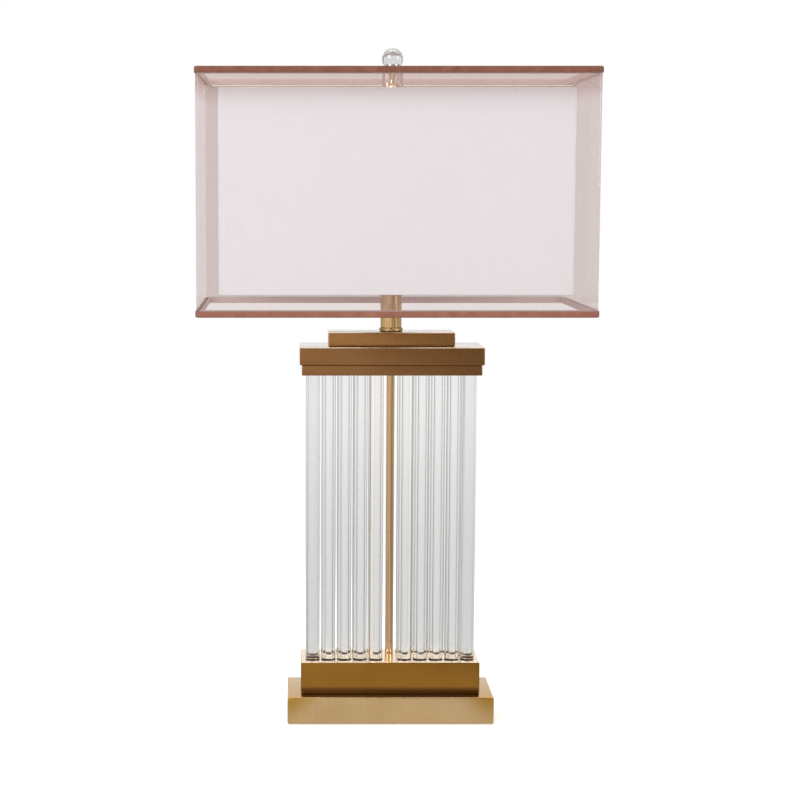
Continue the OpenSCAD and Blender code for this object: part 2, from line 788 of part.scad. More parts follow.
// Tape folded round an edge of the outer shade and its ring, drawn standing on z = 0
module folded_tape() {
    out = tape_gap + trim_t;
    w = shade_w + 2 * out;
    d = shade_d + 2 * out;
    fold = trim_room + 2 * out;
    inner_w = w - 2 * (fold - trim_t);
    inner_d = d - 2 * (fold - trim_t);
    sleeve(w, d, shade_r + out, trim_t, 0, trim_h);
    sleeve(w, d, shade_r + out, fold, 0, trim_t);
    sleeve(inner_w, inner_d, 0.5, trim_t, 0, trim_in_h);
}

// Upper tape, slit where the four arms reach their ring
module shade_trim_top() {
    slit_w = arm_wire + 0.8;
    color(tape) difference() {
        translate([0, 0, shade_top]) mirror([0, 0, 1]) folded_tape();
        for (q = [0 : 3]) rotate(90 * q)
            translate([(q % 2 == 0 ? shade_w : shade_d) / 2 - trim_room - tape_gap - trim_t - cut,
                -slit_w / 2, shade_top - trim_in_h - cut])
                cube([trim_t + 2 * cut, slit_w, trim_in_h + cut - trim_t]);
    }
}

module shade_trim_bottom() {
    color(tape) translate([0, 0, shade_bottom]) folded_tape();
}

// Round brass foot of the finial, with a blind bore for the stud
module finial_base() {
    r = finial_foot_d / 2;
    soft = 0.8;
    bore_h = thread_h + 0.6;
    color(bright_brass) translate([0, 0, finial_z]) rotate_extrude() difference() {
        polygon([[0, 0], [r - soft, 0], [r, soft], [r, finial_foot_h - soft],
            [r - soft, finial_foot_h], [0, finial_foot_h]]);
        translate([0, -cut]) square([stud_d / 2 + running, bore_h + cut]);
    }
}

// Clear glass ball, glued on the brass foot by a flat at its bottom
module finial_ball() {
    flat_z = finial_z + finial_foot_h;
    color(clear_glass) difference() {
        translate([0, 0, ball_z]) sphere(ball_d / 2);
        post(ball_d, flat_z - ball_d, ball_d);
    }
}

felt_pad();
base_weight();
lower_plinth();
upper_plinth();
cord_bushing();
pipe_nut();
pipe_washer();
lamp_pipe();
rod_pads();
for (i = [0 : rod_count - 1])
    glass_rod(i);
rod_holder();
cap_block();
cap_plate();
neck_ring();
neck_tube();
harp_saddle();
harp();
harp_ferrule(-1);  // harp_ferrule_left
harp_ferrule(1);  // harp_ferrule_right
socket_cap();
socket_shell();
socket_insulator();
socket_body();
socket_screw_shell();
socket_contact();
switch_key();
bulb_cap();
bulb_glass();
shade_spider();
shade_ring_top();
shade_ring_bottom();
shade_sheer();
shade_trim_top();
shade_trim_bottom();
liner_sheet();
liner_ring_top();
liner_ring_bottom();
finial_base();
finial_ball();
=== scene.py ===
import math

import bmesh
import bpy
from mathutils import Matrix, Vector


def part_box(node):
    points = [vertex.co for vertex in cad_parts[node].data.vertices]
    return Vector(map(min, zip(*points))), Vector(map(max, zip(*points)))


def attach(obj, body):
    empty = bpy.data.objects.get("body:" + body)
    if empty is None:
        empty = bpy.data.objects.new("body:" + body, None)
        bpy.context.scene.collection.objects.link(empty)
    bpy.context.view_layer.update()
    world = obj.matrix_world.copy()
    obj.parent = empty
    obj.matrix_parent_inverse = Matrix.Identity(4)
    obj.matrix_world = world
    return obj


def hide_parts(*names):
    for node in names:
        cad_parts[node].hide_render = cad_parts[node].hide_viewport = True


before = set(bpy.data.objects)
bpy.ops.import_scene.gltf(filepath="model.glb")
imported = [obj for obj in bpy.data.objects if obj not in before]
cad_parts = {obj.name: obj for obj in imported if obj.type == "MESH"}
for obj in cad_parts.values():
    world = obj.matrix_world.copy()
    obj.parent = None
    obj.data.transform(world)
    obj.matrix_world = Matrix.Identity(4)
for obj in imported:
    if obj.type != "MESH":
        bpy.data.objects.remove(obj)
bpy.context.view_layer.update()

# ---- Camera -------------------------------------------------------------------------------
# A long lens at the height of the shade, looking slightly down. The lamp stands to the
# right of the lens's axis, so the picture is shifted sideways to centre it.
camera = bpy.data.objects.new("camera", bpy.data.cameras.new("camera"))
bpy.context.collection.objects.link(camera)
camera.data.lens = 83.835
camera.data.sensor_width = 36.0
camera.data.shift_x = 0.1375
camera.data.clip_end = 60.0
camera.location = (-0.1044, -1.9230, 0.5565)
camera.rotation_euler = (math.radians(90.0 - 6.583), 0.0, 0.0)
bpy.context.scene.camera = camera
bpy.context.scene.view_settings.view_transform = "Standard"

# ---- Floor, room and lamps ----------------------------------------------------------------
# A pale floor that runs into a white room, with a large softbox on the left, a weaker one on
# the right and a faint one above. Mirrors and glass see a white wall with dark flags at its
# sides behind the lamp, and a grey studio with a pale panel in front of it.


def new_material(name):
    """A material with its tree cleared down to a Principled surface."""
    mat = bpy.data.materials.new(name)
    mat.use_nodes = True
    tree = mat.node_tree
    tree.nodes.clear()
    out = tree.nodes.new("ShaderNodeOutputMaterial")
    surface = tree.nodes.new("ShaderNodeBsdfPrincipled")
    tree.links.new(surface.outputs[0], out.inputs["Surface"])
    return mat, tree, surface


def feed(node, inputs):
    """Set or link a node's inputs; a colour is given without its alpha."""
    for key, value in inputs.items():
        socket = node.inputs[key]
        if isinstance(value, bpy.types.NodeSocket):
            node.id_data.links.new(value, socket)
        else:
            socket.default_value = (*value, 1.0) if socket.type == "RGBA" else value


def put(tree, kind, inputs=None, **settings):
    """Add one node, set its settings, and set or link its inputs."""
    node = tree.nodes.new(kind)
    for key, value in settings.items():
        setattr(node, key, value)
    feed(node, inputs or {})
    return node


def calc(tree, kind, *values):
    """One step of arithmetic on numbers or sockets."""
    return put(tree, "ShaderNodeMath", dict(enumerate(values)), operation=kind).outputs[0]


def axes(tree, vector):
    """A vector's X, Y and Z."""
    return put(tree, "ShaderNodeSeparateXYZ", {0: vector}).outputs


def mix_tone(tree, factor, a, b):
    """Mix two tones; each is a number or a socket."""
    return put(tree, "ShaderNodeMix", {0: factor, 2: a, 3: b}, data_type="FLOAT").outputs[0]


def ramp(tree, value, low, high, at_low, at_high, kind="SMOOTHSTEP"):
    """A change of tone between two places, smooth or linear."""
    return put(tree, "ShaderNodeMapRange", {"Value": value, "From Min": low, "From Max": high,
               "To Min": at_low, "To Max": at_high}, interpolation_type=kind).outputs[0]


def ray_kinds(tree):
    """Two switches: what the lens sees, and what a mirror or glass sees."""
    rays = put(tree, "ShaderNodeLightPath").outputs
    return rays["Is Camera Ray"], calc(tree, "MAXIMUM", rays["Is Glossy Ray"],
                                       rays["Is Transmission Ray"])


# Tones that mirrors and glass see: the wall behind, the flags outwards of FLAG_FROM, the
# panel in front on the left, and the studio in front on the right
WALL, FLAG, FLAG_FROM = 0.97, 0.36, 0.74
PANEL, DIM = 0.92, 0.50


def room_tone(tree, across, ahead, front):
    """What mirrors and glass see: the wall and its flags behind, and front before the lamp."""
    side = calc(tree, "ABSOLUTE", across)
    flags = calc(tree, "MULTIPLY", ramp(tree, side, FLAG_FROM, FLAG_FROM + 0.05, 0.0, 1.0),
                 ramp(tree, side, 0.90, 0.96, 1.0, 0.4))
    back = mix_tone(tree, flags, WALL, FLAG)
    return mix_tone(tree, ramp(tree, ahead, -0.35, 0.1, 0.0, 1.0), front, back)


world = bpy.data.worlds.new("room")
bpy.context.scene.world = world
world.use_nodes = True
tree = world.node_tree
tree.nodes.clear()
way = axes(tree, put(tree, "ShaderNodeTexCoord").outputs["Generated"])
studio = ramp(tree, way["X"], -0.01, 0.05, PANEL, DIM)
studio = mix_tone(tree, ramp(tree, way["X"], 0.12, 0.30, 0.0, 1.0), studio, 0.36)
# A narrow bright strip lamp stands at each side
for start, end, glare in ((-0.58, -0.44, 2.0), (0.80, 0.87, 1.3)):
    strip = calc(tree, "MULTIPLY", ramp(tree, way["X"], start - 0.02, start, 0.0, 1.0),
                 ramp(tree, way["X"], end, end + 0.02, 1.0, 0.0))
    studio = mix_tone(tree, strip, studio, glare)
studio = mix_tone(tree, ramp(tree, way["Z"], 0.35, 0.6, 0.0, 1.0), studio, 0.42)
mirrored = room_tone(tree, way["X"], way["Y"], studio)
lens_ray, second_ray = ray_kinds(tree)
light = mix_tone(tree, lens_ray, mix_tone(tree, second_ray, 1.0, mirrored), 1.0)
room = put(tree, "ShaderNodeBackground", {"Color": (1, 1, 1), "Strength": light})
put(tree, "ShaderNodeOutputWorld", {"Surface": room.outputs[0]})

floor_mesh = bpy.data.meshes.new("floor")
floor_mesh.from_pydata([(-9, -9, 0), (9, -9, 0), (9, 9, 0), (-9, 9, 0)], [], [(0, 1, 2, 3)])
floor = bpy.data.objects.new("floor", floor_mesh)
bpy.context.collection.objects.link(floor)
floor_mat, tree, surface = new_material("floor_paper")
feed(surface, {"Base Color": (0.90, 0.90, 0.90), "Roughness": 0.9, "Specular IOR Level": 0.1})
place = put(tree, "ShaderNodeTexCoord").outputs["Object"]
away = put(tree, "ShaderNodeVectorMath", {0: place}, operation="LENGTH").outputs["Value"]
bearing = axes(tree, put(tree, "ShaderNodeVectorMath", {0: place},
                         operation="NORMALIZE").outputs[0])
studio = ramp(tree, axes(tree, place)["X"], 0.04, 0.34, PANEL, DIM)
# Painted shade: for mirrors and glass the floor glows dimmer near the lamp
mirrored = calc(tree, "MULTIPLY", room_tone(tree, bearing["X"], bearing["Y"], studio),
                ramp(tree, away, 0.15, 3.0, 0.80, 1.0))
lens_ray, second_ray = ray_kinds(tree)
glow = put(tree, "ShaderNodeEmission", {"Color": (1, 1, 1),
                                        "Strength": mix_tone(tree, lens_ray, mirrored, 1.0)})
# Near the lamp the lens sees paper that takes a shadow, and farther off plain white
far = calc(tree, "MULTIPLY", ramp(tree, away, 0.30, 0.95, 0.0, 1.0), lens_ray)
paper = put(tree, "ShaderNodeMixShader", {0: calc(tree, "MAXIMUM", far, second_ray),
                                          1: surface.outputs[0], 2: glow.outputs[0]})
feed(tree.nodes["Material Output"], {"Surface": paper.outputs[0]})
floor.data.materials.append(floor_mat)


def softbox(name, place, aim, size, watts):
    """A rectangular lamp that points at a spot."""
    lamp = bpy.data.objects.new(name, bpy.data.lights.new(name, "AREA"))
    lamp.data.shape = "RECTANGLE"
    lamp.data.size, lamp.data.size_y = size
    lamp.data.energy = watts
    lamp.location = place
    lamp.rotation_euler = (Vector(aim) - Vector(place)).to_track_quat("-Z", "Y").to_euler()
    bpy.context.collection.objects.link(lamp)


softbox("softbox_left", (-1.9, -1.9, 1.7), (0, 0, 0.35), (1.3, 1.6), 72)
softbox("softbox_right", (2.1, -1.5, 1.3), (0, 0, 0.35), (1.0, 1.6), 38)
softbox("softbox_top", (0.0, 0.4, 2.4), (0, 0, 0.3), (1.6, 1.6), 20)

# ---- Plinths and cap ----------------------------------------------------------------------
# Five brass castings: two plinths below the rods, the rod holder, the cap block and the cap
# plate above them. They have eased edges and are satin finished and lacquered, and all but
# the holder are hollow. Once the rods are made, they are drilled for them and for the pipe.
MM = 0.001
tool_end = 10 * MM       # how far a cutting tool reaches past the metal


def outline(w, d, r, n, along):
    """Points round a rectangle: n steps round each corner and along steps on each side."""
    points = []
    corners = ((w / 2 - r, -d / 2 + r, -90), (w / 2 - r, d / 2 - r, 0),
               (-w / 2 + r, d / 2 - r, 90), (-w / 2 + r, -d / 2 + r, 180))
    for cx, cy, a0 in corners:
        for k in range(n + 1):
            a = math.radians(a0 + 90 * k / n)
            points.append((cx + r * math.cos(a), cy + r * math.sin(a)))
    full = []
    for i, p in enumerate(points):
        q = points[(i + 1) % len(points)]
        full.append(p)
        if (i + 1) % (n + 1) == 0:
            full += [(p[0] + (q[0] - p[0]) * k / along, p[1] + (q[1] - p[1]) * k / along)
                     for k in range(1, along)]
    return full


def sweep_round(w, d, r, profile, closed=False, caps=False, n=6, along=1):
    """A skin with one outline per profile point (outwards, height), and a UV map in metres."""
    bm = bmesh.new()
    rings = []
    for out_by, z in profile:
        ring = outline(w + 2 * out_by, d + 2 * out_by, max(r + out_by, 0.2 * MM), n, along)
        rings.append([bm.verts.new((x, y, z)) for x, y in ring])
    uv = bm.loops.layers.uv.new("cloth")
    base = outline(w, d, r, n, along)
    run = [0.0]
    for a, b in zip(base, base[1:] + base[:1]):
        run.append(run[-1] + math.hypot(b[0] - a[0], b[1] - a[1]))
    rise = [0.0]
    loop = profile + profile[:1] if closed else profile
    for a, b in zip(loop, loop[1:]):
        rise.append(rise[-1] + math.hypot(b[0] - a[0], b[1] - a[1]))
    for j in range(len(loop) - 1):
        low, high = rings[j], rings[(j + 1) % len(rings)]
        for i in range(len(base)):
            k = (i + 1) % len(base)
            face = bm.faces.new((low[i], low[k], high[k], high[i]))
            spots = ((run[i], rise[j]), (run[i + 1], rise[j]),
                     (run[i + 1], rise[j + 1]), (run[i], rise[j + 1]))
            for corner, spot in zip(face.loops, spots):
                corner[uv].uv = spot
    if caps:
        bm.faces.new(list(reversed(rings[0])))
        bm.faces.new(rings[-1])
    return bm


def smooth(mesh, sharp=35.0):
    """Shade a mesh smooth, except at edges sharper than an angle."""
    for face in mesh.polygons:
        face.use_smooth = True
    mesh.set_sharp_from_angle(angle=math.radians(sharp))


def piece(name, bm, sharp=35.0):
    """Turn a bmesh into an object whose faces point outwards."""
    bmesh.ops.recalc_face_normals(bm, faces=bm.faces)
    mesh = bpy.data.meshes.new(name)
    bm.to_mesh(mesh)
    bm.free()
    obj = bpy.data.objects.new(name, mesh)
    bpy.context.collection.objects.link(obj)
    smooth(mesh, sharp)
    return obj


def apply_modifiers(obj):
    """Replace an object's mesh by what its modifiers make of it."""
    bpy.context.view_layer.update()
    graph = bpy.context.evaluated_depsgraph_get()
    mesh = bpy.data.meshes.new_from_object(obj.evaluated_get(graph))
    obj.modifiers.clear()
    obj.data = mesh
    smooth(mesh)
    return obj


def cut(body, tool):
    """Take one closed shape out of another."""
    boolean = body.modifiers.new("cut", "BOOLEAN")
    boolean.object = tool
    boolean.operation = "DIFFERENCE"
    boolean.solver = "EXACT"
    apply_modifiers(body)
    bpy.data.objects.remove(tool, do_unlink=True)


def eased(z0, z1, soft, steps=5):
    """Profile of an upright wall with both its edges rounded by soft."""
    turns = [math.pi / 2 * k / steps for k in range(steps + 1)]
    low = [(-soft + soft * math.sin(a), z0 + soft - soft * math.cos(a)) for a in turns]
    high = [(-soft + soft * math.cos(a), z1 - soft + soft * math.sin(a)) for a in turns]
    return low + high


def casting(node, name, soft, wall=None, roof=None):
    """A casting the size of its CAD node; one with a wall and a roof is hollow, open below."""
    corner = 1.5 * MM
    lo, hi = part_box(node)
    w, d = hi.x - lo.x, hi.y - lo.y
    body = piece(name, sweep_round(w, d, corner, eased(lo.z, hi.z, soft), caps=True))
    if wall:
        core = [(0, lo.z - tool_end), (0, hi.z - roof)]
        cut(body, piece("hollow", sweep_round(w - 2 * wall, d - 2 * wall, corner, core,
                                              caps=True)))
    return body


def dress(obj, mat, body, slot, *nodes):
    """Give a piece its material and its body, and hide the CAD nodes that it stands for."""
    obj.data.materials.clear()
    obj.data.materials.append(mat)
    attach(obj, body)
    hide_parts(*nodes)


def finish_node(name, mat):
    """Give a CAD node that shows as it is its material."""
    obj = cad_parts[name]
    obj.data.materials.clear()
    obj.data.materials.append(mat)


def mix_colour(tree, factor, a, b):
    """Mix two colours; each is a colour or a socket."""
    return put(tree, "ShaderNodeMix", {0: factor, 6: a, 7: b}, data_type="RGBA").outputs[2]


def two_tone(tree, pattern, low, dark, high, colour):
    """Run from a dark colour to a light one as a pattern rises from low to high."""
    tone = put(tree, "ShaderNodeValToRGB", {"Fac": pattern})
    for stop, place, shade in zip(tone.color_ramp.elements, (low, high), (dark, colour)):
        stop.position = place
        stop.color = (*shade, 1.0)
    return tone.outputs["Color"]


def noise(tree, place, scale, detail, rough=0.5):
    """A cloudy pattern; three scales stretch it along the axes."""
    if isinstance(scale, tuple):
        place = put(tree, "ShaderNodeMapping", {"Vector": place, "Scale": scale}).outputs[0]
        scale = 1.0
    return put(tree, "ShaderNodeTexNoise", {"Vector": place, "Scale": scale, "Detail": detail,
                                            "Roughness": rough}).outputs["Fac"]


def bump(tree, height, strength, distance):
    """Small bumps for a surface's Normal."""
    return put(tree, "ShaderNodeBump", {"Height": height, "Strength": strength,
                                        "Distance": distance}).outputs[0]


def satin_brass(name, colour, dark, rough, lacquer, brushing, top, foot=None, ends=None):
    """Lacquered satin brass: fine upright brushing and a cloudy tone. Its top face takes a
    painted tone for the light and reflection on upward faces. It can take painted shade just
    above foot, and a painted reflection of deeper gold up at its two ends."""
    mat, tree, surface = new_material(name)
    place = put(tree, "ShaderNodeTexCoord").outputs["Object"]
    spot = axes(tree, place)
    brush = noise(tree, place, (1100, 1100, 16), 3.0, 0.6)
    cloud = noise(tree, place, 22.0, 4.0, 0.55)
    blend = calc(tree, "MULTIPLY_ADD", brush, 5 * brushing, cloud)
    shade = two_tone(tree, blend, 0.30, dark, 0.72, colour)
    # Painted shade: darker just above the foot, where it stands on the part below
    if foot is not None:
        foot_shade = ramp(tree, spot["Z"], foot + 5 * MM, foot + 9.5 * MM, 0.40, 1.0)
        shade = put(tree, "ShaderNodeVectorMath", {0: shade, 1: foot_shade},
                    operation="MULTIPLY").outputs[0]
    # Painted light: upward faces take the top colour, for the light and reflection on them
    up = axes(tree, put(tree, "ShaderNodeNewGeometry").outputs["Normal"])["Z"]
    shade = mix_colour(tree, ramp(tree, up, 0.6, 0.95, 0.0, 1.0), shade, top)
    # Painted reflection: deeper gold up at the two ends
    if ends is not None:
        reach, low, high, gold = ends
        slant = calc(tree, "MULTIPLY_ADD", spot["Z"], 0.7, calc(tree, "ABSOLUTE", spot["X"]))
        end_reflection = calc(tree, "MULTIPLY",
                    ramp(tree, slant, reach - 20 * MM, reach + 12 * MM, 0.0, 1.0),
                    ramp(tree, spot["Z"], low, high, 0.25, 1.0))
        shade = mix_colour(tree, end_reflection, shade, gold)
    feed(surface, {
        "Base Color": shade, "Metallic": 1.0, "Coat Weight": lacquer, "Coat Roughness": 0.12,
        "Roughness": ramp(tree, brush, 0.3, 0.7, rough - 0.05, rough + 0.07, "LINEAR"),
        "Normal": bump(tree, brush, brushing, 0.4 * MM)})
    return mat


base_lo, base_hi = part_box("lower_plinth")
# Each top colour is painted light: the tone that upward faces show under this light
brown_brass = satin_brass("brown_satin_brass", (0.275, 0.118, 0.027), (0.255, 0.104, 0.022),
                          0.24, 0.6, 0.008, top=(0.72, 0.66, 0.56))
plate_brass = satin_brass("cap_plate_brass", (0.355, 0.158, 0.036), (0.330, 0.142, 0.030),
                          0.22, 0.6, 0.008, top=(0.72, 0.66, 0.56))
# The upper plinth is the cap's brass painted brighter and yellower as painted floor reflection;
# it also takes painted shade above its foot
floor_lit_plinth_brass = satin_brass("floor_lit_satin_brass", (0.37, 0.165, 0.018), (0.32, 0.134, 0.010),
                           0.20, 0.3, 0.012, top=(0.92, 0.74, 0.52),
                           foot=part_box("upper_plinth")[0].z)
# The deeper gold up at the lower plinth's ends is a painted reflection
pale_brass = satin_brass("pale_satin_brass", (0.68, 0.46, 0.22), (0.62, 0.405, 0.18),
                         0.22, 0.35, 0.02, top=(0.56, 0.40, 0.25),
                         ends=(base_hi.x, base_lo.z, base_hi.z - 4 * MM, (0.52, 0.285, 0.055)))

# ---- Glass rods ---------------------------------------------------------------------------
# Twenty-two clear glass rods, cut to length with eased ends: a front row and a back row of
# ten with a gap for the pipe, and one rod between them at each end. They stand in blind
# seats. One tree of nodes lays them out, and the drills for their seats too.
rod_nodes = [f"glass_rod_{i:02d}" for i in range(1, 23)]
rod_lo, rod_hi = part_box("glass_rod_06")
rod_d = rod_hi.x - rod_lo.x
rod_xs = sorted({round((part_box(n)[0].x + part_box(n)[1].x) / 2, 6) for n in rod_nodes})
rod_first = min(x for x in rod_xs if x > 0)
rod_pitch = (max(rod_xs) - rod_first) / 4
rod_row = -(rod_lo.y + rod_hi.y) / 2


def rod_tree():
    """Nodes that stand bars with eased ends in two rows and at the two ends."""
    tree = bpy.data.node_groups.new("rod_column", "GeometryNodeTree")
    face = tree.interface
    face.new_socket("Geometry", in_out="INPUT", socket_type="NodeSocketGeometry")
    for label, value in (("Diameter", rod_d), ("Bottom", rod_lo.z), ("Top", rod_hi.z),
                         ("First", rod_first), ("Pitch", rod_pitch), ("Row", rod_row),
                         ("Ease", 0.5 * MM)):
        face.new_socket(label, in_out="INPUT",
                        socket_type="NodeSocketFloat").default_value = value
    for label, value in (("Per Half", 5), ("Sides", 48)):
        face.new_socket(label, in_out="INPUT", socket_type="NodeSocketInt").default_value = value
    face.new_socket("Material", in_out="INPUT", socket_type="NodeSocketMaterial")
    face.new_socket("Geometry", in_out="OUTPUT", socket_type="NodeSocketGeometry")
    given = tree.nodes.new("NodeGroupInput").outputs

    def at(x, y, z):
        return put(tree, "ShaderNodeCombineXYZ", {"X": x, "Y": y, "Z": z}).outputs[0]

    def line(count, start, step):
        return put(tree, "GeometryNodeMeshLine", {"Count": count, "Start Location": start,
                                                  "Offset": step}).outputs[0]

    spots = []
    for side in (-1.0, 1.0):
        for row in (-1.0, 1.0):
            start = at(calc(tree, "MULTIPLY", given["First"], side),
                       calc(tree, "MULTIPLY", given["Row"], row), 0.0)
            step = at(calc(tree, "MULTIPLY", given["Pitch"], side), 0.0, 0.0)
            spots.append(line(given["Per Half"], start, step))
        steps = calc(tree, "ADD", given["Per Half"], -1.0)
        reach = calc(tree, "ADD", given["First"], calc(tree, "MULTIPLY", given["Pitch"], steps))
        spots.append(line(1, at(calc(tree, "MULTIPLY", reach, side), 0.0, 0.0), (0, 0, 0)))
    joined = tree.nodes.new("GeometryNodeJoinGeometry")
    for spot in spots:
        tree.links.new(spot, joined.inputs[0])
    # One bar: a line of four points, narrow at both ends, with a round section
    radius = calc(tree, "MULTIPLY", given["Diameter"], 0.5)
    bar = put(tree, "GeometryNodeCurvePrimitiveLine", {"Start": at(0.0, 0.0, given["Bottom"]),
                                                       "End": at(0.0, 0.0, given["Top"])})
    bar = put(tree, "GeometryNodeResampleCurve", {"Curve": bar.outputs[0], "Count": 4})
    number = put(tree, "GeometryNodeInputIndex").outputs[0]
    for which, height in ((1, calc(tree, "ADD", given["Bottom"], given["Ease"])),
                          (2, calc(tree, "SUBTRACT", given["Top"], given["Ease"]))):
        pick = put(tree, "FunctionNodeCompare", {2: number, 3: which}, data_type="INT",
                   operation="EQUAL")
        bar = put(tree, "GeometryNodeSetPosition", {
            "Geometry": bar.outputs[0], "Selection": pick.outputs[0],
            "Position": at(0.0, 0.0, height)})
    off_middle = calc(tree, "ABSOLUTE", calc(tree, "SUBTRACT", number, 1.5))
    is_end = put(tree, "FunctionNodeCompare", {0: off_middle, 1: 1.0}, data_type="FLOAT",
                 operation="GREATER_THAN")
    narrow = put(tree, "GeometryNodeSwitch", {
        "Switch": is_end.outputs[0], "False": radius,
        "True": calc(tree, "SUBTRACT", radius, given["Ease"])}, input_type="FLOAT")
    bar = put(tree, "GeometryNodeSetCurveRadius", {"Curve": bar.outputs[0],
                                                   "Radius": narrow.outputs[0]})
    ring = put(tree, "GeometryNodeCurvePrimitiveCircle", {"Resolution": given["Sides"],
                                                          "Radius": 1.0})
    round_bar = put(tree, "GeometryNodeCurveToMesh", {
        "Curve": bar.outputs[0], "Profile Curve": ring.outputs[0], "Fill Caps": True,
        "Scale": put(tree, "GeometryNodeInputRadius").outputs[0]})
    stood = put(tree, "GeometryNodeInstanceOnPoints", {"Points": joined.outputs[0],
                                                       "Instance": round_bar.outputs[0]})
    real = put(tree, "GeometryNodeRealizeInstances", {"Geometry": stood.outputs[0]})
    coated = put(tree, "GeometryNodeSetMaterial", {"Geometry": real.outputs[0],
                                                   "Material": given["Material"]})
    put(tree, "NodeGroupOutput", {0: coated.outputs[0]})
    return tree


rods_group = rod_tree()


def make_rods(name, **sizes):
    """Run the rod tree into a plain mesh object."""
    obj = bpy.data.objects.new(name, bpy.data.meshes.new(name))
    bpy.context.collection.objects.link(obj)
    layout = obj.modifiers.new("rods", "NODES")
    layout.node_group = rods_group
    for socket in rods_group.interface.items_tree:
        if socket.in_out == "INPUT" and socket.name in sizes:
            layout[socket.identifier] = sizes[socket.name]
    return apply_modifiers(obj)


def clear_glass(name, colour):
    """Clear glass with the faint tint and the fine surface ripple of drawn stock."""
    mat, tree, surface = new_material(name)
    ripple = noise(tree, put(tree, "ShaderNodeTexCoord").outputs["Object"], (160, 160, 6), 2.0)
    feed(surface, {"Base Color": colour, "Roughness": 0.0, "IOR": 1.50,
                   "Transmission Weight": 1.0, "Normal": bump(tree, ripple, 0.012, 0.2 * MM)})
    return mat


rod_glass = clear_glass("drawn_rod_glass", (0.945, 0.945, 0.94))
dress(make_rods("glass_rods", Material=rod_glass), rod_glass, "lamp", "rod_glass", *rod_nodes)

seat_gap, seat_depth = 0.2 * MM, 3 * MM
seat = {"Diameter": rod_d + 2 * seat_gap, "Ease": 0.1 * MM}
lower_plinth = casting("lower_plinth", "lower_plinth_shell", 1.6 * MM, 1.5 * MM, 1.5 * MM)
upper_plinth = casting("upper_plinth", "upper_plinth_shell", 1.4 * MM, 1.5 * MM, 6 * MM)
seat_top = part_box("upper_plinth")[1].z
cut(upper_plinth, make_rods("seats", Bottom=seat_top - seat_depth, Top=seat_top + tool_end,
                            **seat))
holder = casting("rod_holder", "rod_holder_plate", 0.8 * MM)
seat_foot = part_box("rod_holder")[0].z
cut(holder, make_rods("seats", Bottom=seat_foot - tool_end, Top=seat_foot + seat_depth, **seat))
cap_block = casting("cap_block", "cap_block_casting", 1.6 * MM, 9.25 * MM, 5 * MM)
cap_plate = casting("cap_plate", "cap_plate_casting", 1.5 * MM, 7 * MM, 5 * MM)

pipe_lo, pipe_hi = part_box("lamp_pipe")
pipe_hole = (pipe_hi.x - pipe_lo.x) / 2 + seat_gap
for body in (lower_plinth, upper_plinth, holder, cap_block, cap_plate):
    tool = bmesh.new()
    bmesh.ops.create_cone(tool, cap_ends=True, segments=40, radius1=pipe_hole,
                          radius2=pipe_hole, depth=pipe_hi.z - pipe_lo.z)
    bmesh.ops.translate(tool, verts=tool.verts, vec=(0, 0, (pipe_lo.z + pipe_hi.z) / 2))
    cut(body, piece("drill", tool))
dress(lower_plinth, pale_brass, "lamp", "pale_brass", "lower_plinth")
dress(upper_plinth, floor_lit_plinth_brass, "lamp", "brown_brass", "upper_plinth")
dress(holder, brown_brass, "lamp", "brown_brass", "rod_holder")
dress(cap_block, brown_brass, "lamp", "brown_brass", "cap_block")
dress(cap_plate, plate_brass, "lamp", "brown_brass", "cap_plate")

# ---- Felt, weight, clamp and rod discs ----------------------------------------------------
# Tan wool felt is glued under the base. A cast-iron weight stands inside the lower plinth,
# and a zinc-plated nut and washer in its pocket clamp the whole stack on the pipe.
# Vinyl discs lie under and over the rods, their near-black brown painted shade for the dark
# seats at the rods' ends, and a phenolic bushing lines the cord inlet.


def grainy(name, colour, dark, scale, rough, bumps, metallic=0.0):
    """A plain finish with cloudy colour and a grain that also shows as bumps."""
    mat, tree, surface = new_material(name)
    grain = noise(tree, put(tree, "ShaderNodeTexCoord").outputs["Object"], scale, 6.0, 0.6)
    feed(surface, {"Base Color": two_tone(tree, grain, 0.3, dark, 0.7, colour),
                   "Normal": bump(tree, grain, bumps, 0.3 * MM),
                   "Roughness": rough, "Metallic": metallic})
    return mat


felt = grainy("wool_felt", (0.42, 0.34, 0.25), (0.30, 0.235, 0.165), 900.0, 0.95, 0.8)
feed(felt.node_tree.nodes["Principled BSDF"], {"Sheen Weight": 0.4})
iron = grainy("cast_iron", (0.11, 0.11, 0.11), (0.05, 0.045, 0.04), 350.0, 0.75, 0.6, 0.7)
zinc = grainy("zinc_plate", (0.62, 0.62, 0.60), (0.50, 0.50, 0.47), 120.0, 0.32, 0.08, 1.0)
phenolic = grainy("moulded_phenolic", (0.030, 0.026, 0.022), (0.018, 0.014, 0.012),
                  60.0, 0.28, 0.05)
# Painted shade: the discs are near black to darken the seats under and over the rods
vinyl_seat_shade = grainy("brown_vinyl", (0.075, 0.050, 0.030), (0.045, 0.028, 0.016), 80.0, 0.4, 0.05)
for node, mat in (("felt_pad", felt), ("base_weight", iron), ("pipe_nut", zinc),
                  ("pipe_washer", zinc), ("cord_bushing", phenolic), ("rod_pads", vinyl_seat_shade)):
    finish_node(node, mat)

# ---- Pipe, neck and its ring --------------------------------------------------------------
# A brass pipe runs up between the front and back rods. Above the cap plate it passes through
# a turned ring and a drawn neck, both of polished brass.


